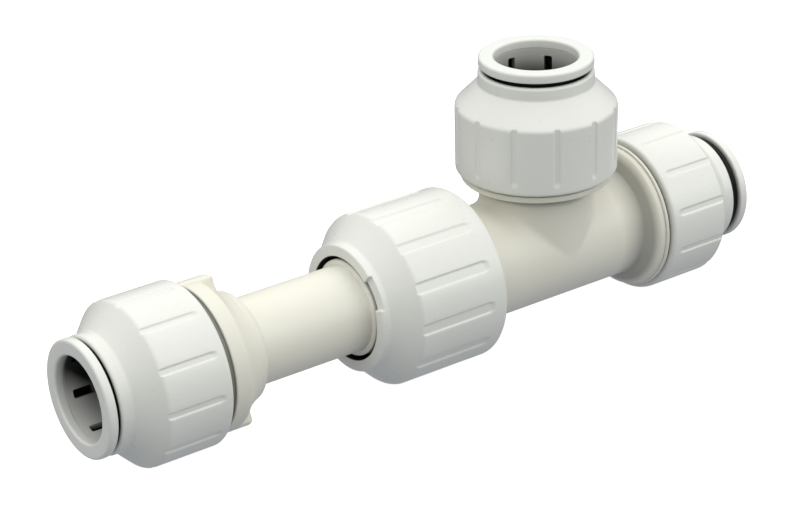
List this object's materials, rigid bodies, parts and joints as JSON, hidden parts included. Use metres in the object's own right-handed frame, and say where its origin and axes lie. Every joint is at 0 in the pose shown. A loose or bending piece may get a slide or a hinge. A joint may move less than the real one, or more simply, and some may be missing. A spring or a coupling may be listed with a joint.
{
  "type": "push to connect fitting",
  "caption": "Plastic push-fit slip tee for water tube, with ports on its run and branch and on a tube that slides in and out through a slip nut.",
  "frame": {"origin": "bottom centre of the whole fitting: below the middle of its length, on the plane that the slip nut touches", "axes": "+X along the run, from the sliding tube's port to the fixed run port; +Z along the branch, out of its port"},
  "size_m": [0.1402, 0.0316, 0.0527],
  "materials": {
    "cap_white": "cool white, slightly glossy moulded plastic",
    "collet_white": "cool white, slightly glossy moulded plastic",
    "body_white": "warm off-white, satin moulded plastic",
    "spacer_white": "plain white moulded plastic",
    "seal_black": "black rubber",
    "grip_steel": "bright stainless strip"
  },
  "bodies": {
    "tee": {"tee_body": "body_white", "branch_o_ring": "seal_black", "run_end_o_ring": "seal_black", "slip_o_ring": "seal_black"},
    "branch_spacer": {"branch_spacer_washer": "spacer_white"},
    "branch_cap": {"branch_screw_cap": "cap_white"},
    "branch_collet": {"branch_collet": "collet_white", "branch_grip_ring": "grip_steel"},
    "run_end_spacer": {"run_end_spacer_washer": "spacer_white"},
    "run_end_cap": {"run_end_screw_cap": "cap_white"},
    "run_end_collet": {"run_end_collet": "collet_white", "run_end_grip_ring": "grip_steel"},
    "tube_end_spacer": {"tube_end_spacer_washer": "spacer_white"},
    "tube_end_cap": {"tube_end_screw_cap": "cap_white"},
    "tube_end_collet": {"tube_end_collet": "collet_white", "tube_end_grip_ring": "grip_steel"},
    "slip_spacer": {"slip_spacer": "spacer_white"},
    "slip_nut": {"slip_nut": "cap_white"},
    "slip_grip": {"slip_grip_ring": "spacer_white"},
    "slide_tube": {"slide_tube": "body_white", "tube_end_o_ring": "seal_black"}
  },
  "joints": [
    {"name": "slip_nut_advance", "type": "slide", "parent": "tee", "child": "slip_spacer", "axis": [1, 0, 0], "range_m": [0, 0.00075]},
    {"name": "slip_nut_turn", "type": "hinge", "parent": "slip_spacer", "child": "slip_nut", "pos_m": [-0.004, 0, 0.01575], "axis": [1, 0, 0], "range_deg": [0, 90]},
    {"name": "tube_swivel", "type": "hinge", "parent": "tee", "child": "slip_grip", "pos_m": [-0.0114, 0, 0.01575], "axis": [1, 0, 0], "continuous": true},
    {"name": "tube_slide", "type": "slide", "parent": "slip_grip", "child": "slide_tube", "axis": [1, 0, 0], "range_m": [0, 0.018]},
    {"name": "branch_cap_advance", "type": "slide", "parent": "tee", "child": "branch_spacer", "axis": [0, 0, -1], "range_m": [-0.000375, 0.000375]},
    {"name": "branch_cap_turn", "type": "hinge", "parent": "branch_spacer", "child": "branch_cap", "pos_m": [0.02678, 0, 0.034], "axis": [0, 0, -1], "range_deg": [-45, 45]},
    {"name": "branch_collet_push", "type": "slide", "parent": "branch_cap", "child": "branch_collet", "axis": [0, 0, -1], "range_m": [0, 0.0008]},
    {"name": "run_end_cap_advance", "type": "slide", "parent": "tee", "child": "run_end_spacer", "axis": [-1, 0, 0], "range_m": [-0.000375, 0.000375]},
    {"name": "run_end_cap_turn", "type": "hinge", "parent": "run_end_spacer", "child": "run_end_cap", "pos_m": [0.054, 0, 0.01575], "axis": [-1, 0, 0], "range_deg": [-45, 45]},
    {"name": "run_end_collet_push", "type": "slide", "parent": "run_end_cap", "child": "run_end_collet", "axis": [-1, 0, 0], "range_m": [0, 0.0017]},
    {"name": "tube_end_cap_advance", "type": "slide", "parent": "slide_tube", "child": "tube_end_spacer", "axis": [1, 0, 0], "range_m": [0, 0.00075]},
    {"name": "tube_end_cap_turn", "type": "hinge", "parent": "tube_end_spacer", "child": "tube_end_cap", "pos_m": [-0.054, 0, 0.01575], "axis": [1, 0, 0], "range_deg": [0, 90]},
    {"name": "tube_end_collet_push", "type": "slide", "parent": "tube_end_cap", "child": "tube_end_collet", "axis": [1, 0, 0], "range_m": [-0.0002, 0.0006]}
  ],
  "couplings": [
    {"joint": "slip_nut_turn", "follows": "slip_nut_advance", "rad_per_m": 2094.4},
    {"joint": "branch_cap_turn", "follows": "branch_cap_advance", "rad_per_m": 2094.4},
    {"joint": "run_end_cap_turn", "follows": "run_end_cap_advance", "rad_per_m": 2094.4},
    {"joint": "tube_end_cap_turn", "follows": "tube_end_cap_advance", "rad_per_m": 2094.4}
  ]
}
